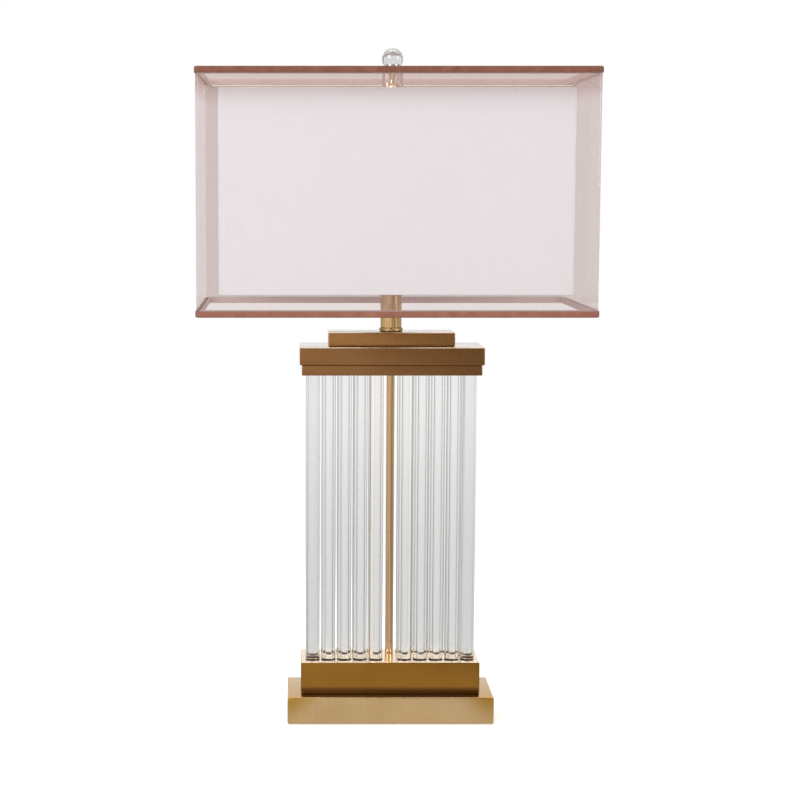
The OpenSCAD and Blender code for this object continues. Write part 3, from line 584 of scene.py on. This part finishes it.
def bright_metal(name, colour, dark, rough, scale=(900, 900, 8), shade_below=None):
    """Polished metal with fine lines along one direction. It can take a painted shade colour
    up to a height.
    """
    mat, tree, surface = new_material(name)
    place = put(tree, "ShaderNodeTexCoord").outputs["Object"]
    lines = noise(tree, place, scale, 3.0)
    shade = two_tone(tree, lines, 0.32, dark, 0.66, colour)
    # Painted shade: below the height the colour runs to the given dark one
    if shade_below is not None:
        height, dull = shade_below
        bright = ramp(tree, axes(tree, place)["Z"], height, height + 1.8 * MM, 0.0, 1.0)
        shade = mix_colour(tree, bright, dull, shade)
    feed(surface, {
        "Base Color": shade, "Metallic": 1.0,
        "Roughness": ramp(tree, lines, 0.3, 0.7, rough * 0.7, rough * 1.4, "LINEAR")})
    return mat


neck_brass = bright_metal("drawn_brass", (0.72, 0.49, 0.23), (0.50, 0.315, 0.125), 0.16)
pipe_brass = bright_metal("pipe_brass", (0.74, 0.50, 0.28), (0.58, 0.37, 0.19), 0.12)
round_lines = (60, 60, 1200)
turned_brass = bright_metal("turned_brass", (0.60, 0.42, 0.20), (0.42, 0.27, 0.11), 0.14,
                            round_lines)
finish_node("lamp_pipe", pipe_brass)


def lathe(bm, profile, sides=40, axis="Z", offset=(0, 0, 0)):
    """Add a shape turned from (radius, height) points; ends on the axis are closed."""
    rings = []
    for r, z in profile:
        row = []
        for k in range(sides if r > 1e-6 else 1):
            a = 2 * math.pi * k / sides
            p = Vector((r * math.cos(a), r * math.sin(a), z))
            if axis == "-Y":
                p = Vector((p.x, -p.z, p.y))
            row.append(bm.verts.new(p + Vector(offset)))
        rings.append(row)
    for low, high in zip(rings, rings[1:]):
        for k in range(sides):
            m = (k + 1) % sides
            face = list(dict.fromkeys([low[k % len(low)], low[m % len(low)],
                                       high[m % len(high)], high[k % len(high)]]))
            if len(face) > 2:
                bm.faces.new(face)
    if profile[0] == profile[-1]:
        bmesh.ops.remove_doubles(bm, verts=bm.verts, dist=1e-7)
    return bm


def turned(name, profile, sides=64, sharp=40.0):
    """A piece turned on a lathe."""
    return piece(name, lathe(bmesh.new(), profile, sides), sharp)


def arc(cx, cz, r, a0, a1, steps):
    """Points of an arc in a lathe profile."""
    turns = [math.radians(a0 + (a1 - a0) * k / steps) for k in range(steps + 1)]
    return [(cx + r * math.cos(a), cz + r * math.sin(a)) for a in turns]


neck_lo, neck_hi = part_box("neck_tube")
ring_lo, ring_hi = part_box("neck_ring")
neck_r = (neck_hi.x - neck_lo.x) / 2
ring_r = (ring_hi.x - ring_lo.x) / 2
bead = (neck_lo.z - ring_lo.z) / 2
spigot_r = neck_r - 1.4 * MM
ring_profile = ([(pipe_hole, ring_lo.z), (ring_r - bead * 0.7, ring_lo.z)]
                + arc(ring_r - bead, ring_lo.z + bead, bead, -80, 80, 10)
                + [(ring_r - bead * 0.7, neck_lo.z), (spigot_r, neck_lo.z),
                   (spigot_r, ring_hi.z), (pipe_hole, ring_hi.z), (pipe_hole, ring_lo.z)])
dress(turned("neck_ring_turned", ring_profile), turned_brass, "lamp", "bright_brass",
      "neck_ring")
neck_wall, neck_roof = 1.2 * MM, 1.6 * MM
neck_bore = neck_r - neck_wall
neck_profile = ([(neck_bore, neck_lo.z), (neck_r - 0.3 * MM, neck_lo.z),
                 (neck_r, neck_lo.z + 0.3 * MM)]
                + arc(neck_bore, neck_hi.z - neck_wall, neck_wall, 0, 90, 6)
                + [(pipe_hole, neck_hi.z), (pipe_hole, neck_hi.z - neck_roof),
                   (neck_bore, neck_hi.z - neck_roof), (neck_bore, neck_lo.z)])
dress(turned("neck_tube_drawn", neck_profile), neck_brass, "lamp", "bright_brass", "neck_tube")

# ---- Harp, saddle and ferrules ------------------------------------------------------------
# A steel saddle is clamped under the socket. The harp is one bent brass-plated wire that
# stands on the saddle's two tabs; a ferrule drops over each joint. A turned collar at its
# top carries a waisted spool with the threaded stud for the shade.


def bent_path(corners, radii):
    """Points of a wire bent along straight lengths with a radius at each inner corner."""
    path = [Vector(corners[0])]
    for i in range(1, len(corners) - 1):
        before, here, after = (Vector(corners[i + k]) for k in (-1, 0, 1))
        u, v = (here - before).normalized(), (after - here).normalized()
        turn = u.angle(v)
        start = here - u * radii[i] * math.tan(turn / 2)
        centre = start + (v - u * u.dot(v)).normalized() * radii[i]
        axis = u.cross(v).normalized()
        count = max(2, round(math.degrees(turn) / 4))
        path += [centre + Matrix.Rotation(turn * k / count, 3, axis) @ (start - centre)
                 for k in range(count + 1)]
    path.append(Vector(corners[-1]))
    return path


def wire(path, r, sides=20):
    """A round wire along a path of points, with flat ends."""
    bm = bmesh.new()
    rings = []
    across = None
    for i, p in enumerate(path):
        way = (path[min(i + 1, len(path) - 1)] - path[max(i - 1, 0)]).normalized()
        across = way.orthogonal() if across is None else across - way * across.dot(way)
        across.normalize()
        other = way.cross(across)
        rings.append([bm.verts.new(p + across * r * math.cos(2 * math.pi * k / sides)
                                   + other * r * math.sin(2 * math.pi * k / sides))
                      for k in range(sides)])
    for low, high in zip(rings, rings[1:]):
        for k in range(sides):
            m = (k + 1) % sides
            bm.faces.new((low[k], low[m], high[m], high[k]))
    bm.faces.new(list(reversed(rings[0])))
    bm.faces.new(rings[-1])
    return bm


harp_lo, harp_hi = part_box("harp")
ferrule_lo, ferrule_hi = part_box("harp_ferrule_right")
leg_x = (ferrule_lo.x + ferrule_hi.x) / 2
wire_r, wide_bend, top_bend = 2 * MM, 60 * MM, 34 * MM
stud_h, spool_h, collar_h = 5.6 * MM, 16.2 * MM, 6 * MM
bow_x = harp_hi.x - wire_r
stud_z = harp_hi.z - stud_h
spool_z = stud_z - spool_h
wire_top = spool_z - collar_h / 2
leg_bend = ferrule_hi.z + 36 * MM
half_bow = [(leg_x, 0, harp_lo.z), (leg_x, 0, leg_bend), (bow_x, 0, leg_bend + 34 * MM),
            (bow_x, 0, wire_top - 40 * MM), (30 * MM, 0, wire_top)]
bow = [(-x, y, z) for x, y, z in half_bow] + half_bow[::-1]
half_radii = [0, wide_bend, wide_bend, wide_bend, top_bend]
harp_bm = wire(bent_path(bow, half_radii + half_radii[::-1]), wire_r)
collar_r, end_r, waist_r = 6.5 * MM, 5.2 * MM, 2.9 * MM
mid = (spool_z + stud_z) / 2
collar = [(0, spool_z - collar_h), (collar_r - 0.6 * MM, spool_z - collar_h),
          (collar_r, spool_z - collar_h + 0.6 * MM), (collar_r, spool_z - 0.5 * MM),
          (collar_r - 0.5 * MM, spool_z), (end_r - 0.5 * MM, spool_z),
          (end_r, spool_z + 0.4 * MM), (end_r, spool_z + 1.4 * MM)]
for k in range(1, 20):
    rise = -1 + k / 10
    collar.append((waist_r + (end_r - 0.3 * MM - waist_r) * abs(rise) ** 1.7,
                   mid + rise * 6.3 * MM))
collar += [(end_r, stud_z - 1.4 * MM), (end_r, stud_z - 0.4 * MM),
           (end_r - 0.5 * MM, stud_z), (0, stud_z)]
lathe(harp_bm, collar)
crest, root, thread_step = 3.175 * MM, 2.85 * MM, 0.7 * MM
thread = [(0, stud_z - 0.5 * MM), (3.0 * MM, stud_z - 0.5 * MM)]
for k in range(7):
    thread += [(crest, stud_z + (k + 0.5) * thread_step),
               (root, stud_z + (k + 1) * thread_step)]
thread += [(2.6 * MM, harp_hi.z), (0, harp_hi.z)]
lathe(harp_bm, thread)
every_way = (300, 300, 300)
harp_brass = bright_metal("brass_plated_wire", (0.90, 0.67, 0.32), (0.70, 0.50, 0.21), 0.17,
                          every_way)
dress(piece("harp_bow", harp_bm, 50), harp_brass, "lamp", "bright_brass", "harp")
finish_node("harp_saddle", zinc)
for side in ("left", "right"):
    lo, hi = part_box(f"harp_ferrule_{side}")
    r = (hi.x - lo.x) / 2
    bore, leg_hole = r - 0.85 * MM, wire_r + 0.1 * MM
    sleeve = [(bore, lo.z), (r - 0.2 * MM, lo.z), (r, lo.z + 0.3 * MM), (r, lo.z + 3 * MM),
              (r - 0.35 * MM, lo.z + 3.4 * MM), (r - 0.35 * MM, lo.z + 4.2 * MM),
              (r, lo.z + 4.6 * MM), (r, hi.z - 4 * MM), (r - 1.4 * MM, hi.z),
              (leg_hole, hi.z), (leg_hole, hi.z - 2.5 * MM), (bore, hi.z - 2.5 * MM),
              (bore, lo.z)]
    bm = lathe(bmesh.new(), sleeve, 36, offset=((lo.x + hi.x) / 2, 0, 0))
    dress(piece(f"ferrule_{side}_sleeve", bm), harp_brass, f"ferrule_{side}", "bright_brass",
          f"harp_ferrule_{side}")

# ---- Socket and switch key ----------------------------------------------------------------
# A turn-key socket: a spun brass cup and shell, a fibre sleeve, a phenolic body with the
# screw shell and contact, and a moulded key on a short shaft that points to the front.
fibre = grainy("vulcanised_fibre", (0.12, 0.058, 0.030), (0.07, 0.032, 0.016), 200.0, 0.7, 0.2)
for node, mat in (("socket_cap", turned_brass), ("socket_shell", turned_brass),
                  ("socket_screw_shell", pipe_brass), ("socket_contact", pipe_brass),
                  ("socket_body", phenolic), ("socket_insulator", fibre)):
    finish_node(node, mat)
key_lo, key_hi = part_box("switch_key")
key_z = (key_lo.z + key_hi.z) / 2
front = -key_lo.y
shaft = [(0, -key_hi.y), (2 * MM, -key_hi.y), (2 * MM, front - 10 * MM), (0, front - 10 * MM)]
boss = [(0, front - 11.2 * MM), (3.2 * MM, front - 11.2 * MM), (3.6 * MM, front - 10.8 * MM),
        (3.6 * MM, front - 8.6 * MM), (3.0 * MM, front - 8 * MM), (0, front - 8 * MM)]
key_bm = lathe(bmesh.new(), shaft, 28, "-Y", (0, 0, key_z))
lathe(key_bm, boss, 32, "-Y", (0, 0, key_z))
# The grip is a flat block that narrows towards the shaft
grip_w, grip_l, grip_t, narrowed = key_hi.x - key_lo.x, 9 * MM, 3.4 * MM, 0.62
grip = bmesh.ops.create_cube(key_bm, size=1.0)["verts"]
for v in grip:
    v.co = Vector((v.co.x * grip_w, key_lo.y + (v.co.y + 0.5) * grip_l,
                   key_z + v.co.z * grip_t))
    if v.co.y > key_lo.y + grip_l / 2:
        v.co.x *= narrowed
bmesh.ops.bevel(key_bm, geom=[e for e in key_bm.edges if all(v in grip for v in e.verts)],
                offset=1.1 * MM, segments=4, profile=0.5, affect="EDGES")
dress(piece("switch_key_moulding", key_bm, 50), phenolic, "switch", "dark_plastic",
      "switch_key")

# ---- Bulb ---------------------------------------------------------------------------------
# A frosted glass bulb blown as one shell that tapers into its screw cap.
bulb_lo, bulb_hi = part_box("bulb_glass")
bulb_r = (bulb_hi.x - bulb_lo.x) / 2
globe_z = bulb_hi.z - bulb_r
neck_of_bulb = 12.2 * MM
rise = globe_z - bulb_lo.z - 14 * MM
lean = math.atan2(rise, neck_of_bulb) - math.acos(bulb_r / math.hypot(rise, neck_of_bulb))
# The shoulder is one curve from the neck's top to the globe, pulled to a point over the neck
x0, z0 = neck_of_bulb, bulb_lo.z + 9 * MM
x1, z1 = neck_of_bulb + 1.5 * MM, bulb_lo.z + 24 * MM
x2, z2 = bulb_r * math.cos(lean), globe_z - bulb_r * math.sin(lean)
shoulder = [(neck_of_bulb, bulb_lo.z), (x0, z0)]
for k in range(1, 13):
    t = k / 13
    shoulder.append(((1 - t) ** 2 * x0 + 2 * t * (1 - t) * x1 + t * t * x2,
                     (1 - t) ** 2 * z0 + 2 * t * (1 - t) * z1 + t * t * z2))
globe = arc(0, globe_z, bulb_r, -math.degrees(lean), 90, 22)
globe[-1] = (0.0, bulb_hi.z)
frost, tree, surface = new_material("frosted_bulb_glass")
mist = noise(tree, put(tree, "ShaderNodeTexCoord").outputs["Object"], 240.0, 3.0)
feed(surface, {"Base Color": (0.93, 0.925, 0.91), "Subsurface Weight": 0.3,
               "Subsurface Radius": (0.01, 0.01, 0.01), "Coat Weight": 0.6,
               "Roughness": ramp(tree, mist, 0.0, 1.0, 0.35, 0.6, "LINEAR")})
dress(turned("bulb_globe", shoulder + globe, 72, 60), frost, "bulb", "bulb_glass", "bulb_glass")
cap_lo, cap_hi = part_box("bulb_cap")
cap_r = (cap_hi.x - cap_lo.x) / 2
screw = [(0, cap_lo.z), (4.4 * MM, cap_lo.z), (4.6 * MM, cap_lo.z + 0.6 * MM),
         (cap_r - 0.8 * MM, cap_lo.z + 3 * MM)]
groove_step = 0.8 * MM
for k in range(24):
    groove = (0.8, 0.35, 0.0, 0.35)[k % 4] * MM
    screw.append((cap_r - groove, cap_lo.z + 3.4 * MM + k * groove_step))
screw += [(cap_r - 0.1 * MM, cap_hi.z - 1 * MM), (cap_r - 0.1 * MM, cap_hi.z),
          (cap_r - 0.6 * MM, cap_hi.z)]
dress(turned("bulb_screw_cap", screw, 56, 60), zinc, "bulb", "steel", "bulb_cap")

# ---- Shade wires --------------------------------------------------------------------------
# Pale plated rings inside the outer shade's edges and dull ones inside the liner's. The
# spider's four level arms take a painted shade colour; where they rise to its hub on the stud
# they keep the bright plating.
plated = bright_metal("pale_plated_wire", (0.66, 0.60, 0.47), (0.52, 0.46, 0.35), 0.12,
                      every_way)
dull = bright_metal("dull_plated_wire", (0.24, 0.21, 0.17), (0.18, 0.155, 0.12), 0.25,
                    every_way)
arm_r = 1.5 * MM
arm_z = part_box("shade_spider")[0].z + arm_r
# The level arms take a painted shade colour, up to just above their wire
spider_metal = bright_metal("bright_plated_spider", (0.80, 0.73, 0.59), (0.66, 0.59, 0.46),
                            0.10, every_way, (arm_z + 1.2 * MM, (0.22, 0.19, 0.15)))
for node, mat in (("shade_ring_top", plated), ("shade_ring_bottom", plated),
                  ("liner_ring_top", dull), ("liner_ring_bottom", dull),
                  ("shade_spider", spider_metal)):
    finish_node(node, mat)

# ---- Sheer outer shade --------------------------------------------------------------------
# Rose organza laminated on clear glossy sheet, bent into a rectangle with tight corners.
# The cloth is open enough to see the liner and the wires through it.
sheer_lo, sheer_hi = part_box("shade_sheer")
sheer_w, sheer_d, sheer_r = sheer_hi.x - sheer_lo.x, sheer_hi.y - sheer_lo.y, 4 * MM


def cloth(name, pitch):
    """A material on the piece's own UV map in metres, with a wave for its threads each way."""
    mat, tree, surface = new_material(name)
    place = put(tree, "ShaderNodeUVMap", uv_map="cloth").outputs[0]
    waves = []
    for axis in ("X", "Y"):
        turns = calc(tree, "MULTIPLY", axes(tree, place)[axis], 2 * math.pi / pitch)
        waves.append(calc(tree, "MULTIPLY_ADD", calc(tree, "SINE", turns), 0.5, 0.5))
    return mat, tree, surface, place, waves


def slubs(tree, place, fine, long, detail):
    """Uneven threads both ways, as a tone round 1."""
    return calc(tree, "ADD", noise(tree, place, (fine, long, 1), detail),
                noise(tree, place, (long, fine, 1), detail))


rose, tree, surface, place, waves = cloth("rose_organza", 0.4 * MM)
threads = ramp(tree, calc(tree, "MAXIMUM", *waves), 0.35, 1.0, 0.31, 0.48, "LINEAR")
uneven = ramp(tree, slubs(tree, place, 1300, 30, 2.0), 0.7, 1.3, -0.02, 0.02, "LINEAR")
share = calc(tree, "ADD", threads, uneven)
# The cloth is denser at the corner folds, and it is made denser towards the top edge as
# painted shade
spot = axes(tree, put(tree, "ShaderNodeTexCoord").outputs["Object"])
out_to = calc(tree, "ADD", calc(tree, "ABSOLUTE", spot["X"]), calc(tree, "ABSOLUTE", spot["Y"]))
corner = (sheer_w + sheer_d) / 2
fold = ramp(tree, out_to, corner - 2.9 * MM, corner - 2.5 * MM, 0.0, 0.25)
painted_top_shade = ramp(tree, spot["Z"], sheer_hi.z - 34 * MM, sheer_hi.z - 6 * MM, 0.0, 0.27)
share = calc(tree, "ADD", calc(tree, "MAXIMUM", fold, painted_top_shade), share)
feed(surface, {"Base Color": (0.225, 0.130, 0.112), "Alpha": share, "Roughness": 0.42,
               "Coat Weight": 1.0, "Coat Roughness": 0.02})
middle = [(-0.4 * MM, sheer_lo.z), (-0.4 * MM, sheer_hi.z)]
sheer = piece("sheer_wall", sweep_round(sheer_w, sheer_d, sheer_r, middle, n=8, along=6), 80)
dress(sheer, rose, "shade", "rose_sheer", "shade_sheer")

# ---- Folded ribbon trims ------------------------------------------------------------------
# A rose-brown ribbon is glued over each edge of the outer shade and folded round the wire
# ring there, a little deeper inside than outside. The lower one is painted paler and the upper
# one darker, as painted light from the floor below.


def ribbon(name, colour, dark):
    """Ribbed ribbon on the piece's UV map; its turned-in leaf is painted pale, as painted light
    shining through the thin ribbon.
    """
    mat, tree, surface, place, waves = cloth(name, 0.9 * MM)
    tone = two_tone(tree, noise(tree, place, 90.0, 3.0), 0.3, dark, 0.7, colour)
    # Painted light: the turned-in leaf is pale as if lit through from behind
    backlit_leaf = ramp(tree, axes(tree, place)["Y"], 10.1 * MM, 10.8 * MM, 0.0, 1.0)
    feed(surface, {"Base Color": mix_colour(tree, backlit_leaf, tone, (0.44, 0.36, 0.345)),
                   "Normal": bump(tree, waves[0], 0.25, 0.1 * MM),
                   "Roughness": 0.6, "Specular IOR Level": 0.25})
    return mat


tape_fold = [(-0.60, 6.2), (-0.12, 6.2), (0.0, 5.9), (0.0, 1.6), (-0.35, 0.55), (-1.2, 0.08),
             (-2.65, 0.0), (-4.1, 0.08), (-4.95, 0.55), (-5.30, 1.6), (-5.30, 6.9), (-5.18, 7.2),
             (-4.70, 7.2), (-4.70, 1.7), (-4.45, 1.0), (-3.9, 0.66), (-2.65, 0.6), (-1.4, 0.66),
             (-0.85, 1.0), (-0.60, 1.7)]
# Painted light: one ribbon in a shaded and a lit copy, darker above and paler below
shaded_upper_tape = ribbon("shaded_upper_ribbon", (0.145, 0.052, 0.032), (0.100, 0.034, 0.019))
lit_lower_tape = ribbon("lit_lower_ribbon", (0.190, 0.076, 0.048), (0.145, 0.053, 0.033))
trim_r = 4.65 * MM
for node, up, tape in (("shade_trim_top", -1, shaded_upper_tape), ("shade_trim_bottom", 1, lit_lower_tape)):
    lo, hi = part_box(node)
    edge = hi.z if up < 0 else lo.z
    profile = [(x * MM, edge + up * z * MM) for x, z in tape_fold]
    bm = sweep_round(hi.x - lo.x, hi.y - lo.y, trim_r, profile, closed=True, n=8, along=6)
    trim = piece(f"{node}_ribbon", bm, 50)
    dress(trim, tape, "shade", "rose_tape", node)

# ---- Liner --------------------------------------------------------------------------------
# White linen on opaque styrene, a smaller rectangle inside the sheer one, with its edges
# turned over two wire rings.
liner_lo, liner_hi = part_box("liner_sheet")
liner_w, liner_d, liner_r = liner_hi.x - liner_lo.x, liner_hi.y - liner_lo.y, 3 * MM
liner_h = liner_hi.z - liner_lo.z
linen, tree, surface, place, waves = cloth("white_linen", 0.9 * MM)
uneven = slubs(tree, place, 1100, 40, 3.0)
tone = two_tone(tree, calc(tree, "MULTIPLY", uneven, 0.5), 0.35, (0.758, 0.799, 0.839),
                0.62, (0.770, 0.810, 0.849))
# Painted shade: the liner's inside face is grey, for the unlit inside of the shade
back_from = liner_h + 2.2 * MM
unlit_inside = ramp(tree, axes(tree, place)["Y"], back_from, back_from + 1 * MM, 0.0, 1.0)
weave = calc(tree, "ADD", calc(tree, "MAXIMUM", *waves), uneven)
feed(surface, {"Base Color": mix_colour(tree, unlit_inside, tone, (0.66, 0.65, 0.635)),
               "Normal": bump(tree, weave, 0.25, 0.15 * MM), "Roughness": 0.8})
roll = [(0.0, 1.2), (0.0, 0.35), (-0.15, 0.1), (-0.4, 0.0), (-0.65, 0.1), (-0.8, 0.35),
        (-0.8, 1.2)]
wall = ([(x * MM, liner_lo.z + z * MM) for x, z in reversed(roll)]
        + [(x * MM, liner_hi.z - z * MM) for x, z in roll])
liner = piece("liner_wall", sweep_round(liner_w, liner_d, liner_r, wall, closed=True, n=8,
                                        along=6), 80)
dress(liner, linen, "shade", "linen", "liner_sheet")

# ---- Finial -------------------------------------------------------------------------------
# A round nickel-plated brass foot screws down on the stud. A clear glass ball is glued on it
# by a flat at its bottom.
foot_lo, foot_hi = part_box("finial_base")
ball_lo, ball_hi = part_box("finial_ball")
foot_r = (foot_hi.x - foot_lo.x) / 2
ball_r = (ball_hi.x - ball_lo.x) / 2
ball_z = ball_hi.z - ball_r
bore, bore_top = 3.275 * MM, foot_lo.z + 4.2 * MM
soft = 0.8 * MM
foot = ([(0, bore_top), (bore, bore_top), (bore, foot_lo.z)]
        + arc(foot_r - soft, foot_lo.z + soft, soft, -90, 0, 6)
        + [(foot_r, foot_hi.z - 2.2 * MM), (foot_r - 0.5 * MM, foot_hi.z - 1.7 * MM),
           (foot_r - 0.5 * MM, foot_hi.z - 1.3 * MM)]
        + arc(foot_r - soft, foot_hi.z - soft, soft, 0, 90, 6) + [(0, foot_hi.z)])
nickel = bright_metal("nickel_plate", (0.70, 0.70, 0.69), (0.60, 0.60, 0.59), 0.16,
                      round_lines)
dress(turned("finial_foot", foot), nickel, "finial", "bright_brass", "finial_base")
ball_glass = clear_glass("ball_glass", (0.72, 0.72, 0.735))
# A thin layer of glue keeps the glass off the metal
ball_flat = ball_lo.z + 0.08 * MM
globe = arc(0, ball_z, ball_r, 90, math.degrees(math.asin((ball_flat - ball_z) / ball_r)), 48)
globe[0] = (0.0, ball_hi.z)
dress(turned("finial_glass_ball", globe + [(0.0, ball_flat)], 96, 60), ball_glass, "finial",
      "ball_glass", "finial_ball")
